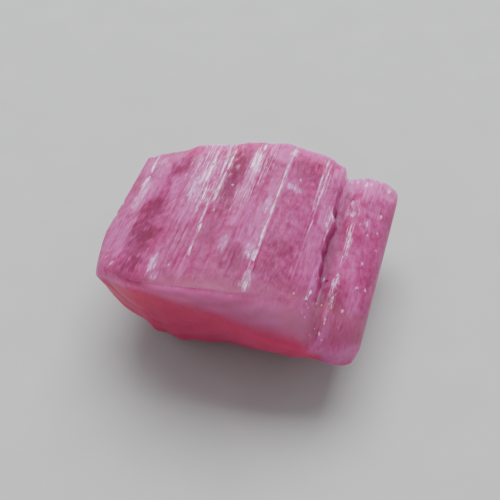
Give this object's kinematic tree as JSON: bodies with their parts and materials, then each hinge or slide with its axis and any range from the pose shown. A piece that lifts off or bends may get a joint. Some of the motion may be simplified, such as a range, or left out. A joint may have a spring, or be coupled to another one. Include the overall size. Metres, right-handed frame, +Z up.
{
  "type": "rubellite crystal",
  "caption": "Short broken length of a pink-red tourmaline prism lying on its side, striped on top, with a lower side growth, a smooth curved break and a rough break.",
  "frame": {"origin": "on the surface that the crystal rests on, under the middle of its box", "axes": "+Z up, +Y along the crystal's long axis away from the smooth curved break, +X towards the lower side growth"},
  "size_m": [0.012, 0.0109, 0.0066],
  "materials": {
    "rubellite": "satin"
  },
  "bodies": {
    "root": {"crystal": "rubellite"}
  },
  "joints": []
}
